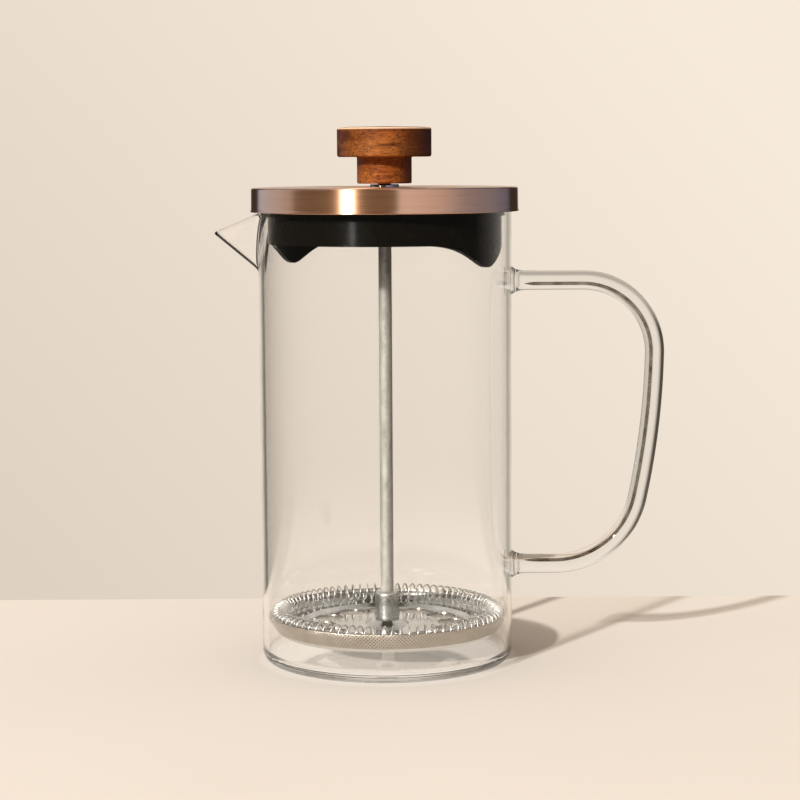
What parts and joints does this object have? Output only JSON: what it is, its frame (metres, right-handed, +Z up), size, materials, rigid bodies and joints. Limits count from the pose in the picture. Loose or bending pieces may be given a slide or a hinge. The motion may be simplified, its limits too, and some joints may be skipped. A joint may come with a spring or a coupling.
{
  "type": "french press",
  "caption": "Glass plunger coffee maker with a V spout, a fused glass rod handle, a flat metal lid, a turned wooden knob and a mesh filter on a steel rod.",
  "frame": {"origin": "centre of the carafe's flat base, on its axis", "axes": "+Z up along the carafe, +X towards the handle, -X towards the spout, -Y towards the viewer"},
  "size_m": [0.1711, 0.1014, 0.2038],
  "materials": {
    "glass": "clear polished borosilicate",
    "copper_cap": "copper-coloured coating, brushed round the axis",
    "black_plastic": "glossy moulded",
    "polished_steel": "polished stainless",
    "steel": "satin stainless",
    "spring_wire": "drawn stainless wire",
    "steel_mesh": "fine woven stainless",
    "brass": "machined",
    "walnut": "oiled, turned"
  },
  "bodies": {
    "carafe": {"carafe": "glass", "carafe_handle": "glass"},
    "guide": {"guide_bush": "polished_steel", "bush_washer": "steel", "bush_nut": "steel"},
    "lid": {"lid_cap": "copper_cap", "lid_insert": "black_plastic"},
    "plunger": {"plunger_rod": "polished_steel", "rod_ferrule": "steel", "spiral_plate": "polished_steel", "edge_spring": "spring_wire", "mesh_screen": "steel_mesh"},
    "knob_insert": {"knob_insert": "brass"},
    "knob": {"knob": "walnut"},
    "nut": {"cross_plate_nut": "steel"},
    "cross_plate": {"cross_plate": "steel"}
  },
  "joints": [
    {"name": "lid_lift", "type": "slide", "parent": "carafe", "child": "guide", "axis": [0, 0, 1], "range_m": [0, 0.18]},
    {"name": "lid_turn", "type": "hinge", "parent": "guide", "child": "lid", "pos_m": [0, 0, 0.176], "axis": [0, 0, 1], "continuous": true},
    {"name": "plunger_slide", "type": "slide", "parent": "guide", "child": "plunger", "axis": [0, 0, 1], "range_m": [0, 0.128]},
    {"name": "knob_rise", "type": "slide", "parent": "plunger", "child": "knob_insert", "axis": [0, 0, 1], "range_m": [0, 0.008]},
    {"name": "knob_turn", "type": "hinge", "parent": "knob_insert", "child": "knob", "pos_m": [0, 0, 0.19], "axis": [0, 0, 1], "range_deg": [0, 3600]},
    {"name": "nut_drop", "type": "slide", "parent": "plunger", "child": "nut", "axis": [0, 0, -1], "range_m": [0, 0.0028]},
    {"name": "cross_plate_turn", "type": "hinge", "parent": "nut", "child": "cross_plate", "pos_m": [0, 0, 0.0108], "axis": [0, 0, -1], "range_deg": [0, 1440]}
  ],
  "couplings": [
    {"joint": "knob_rise", "follows": "knob_turn", "m_per_rad": 0.00012731},
    {"joint": "nut_drop", "follows": "cross_plate_turn", "m_per_rad": 0.0001114}
  ]
}
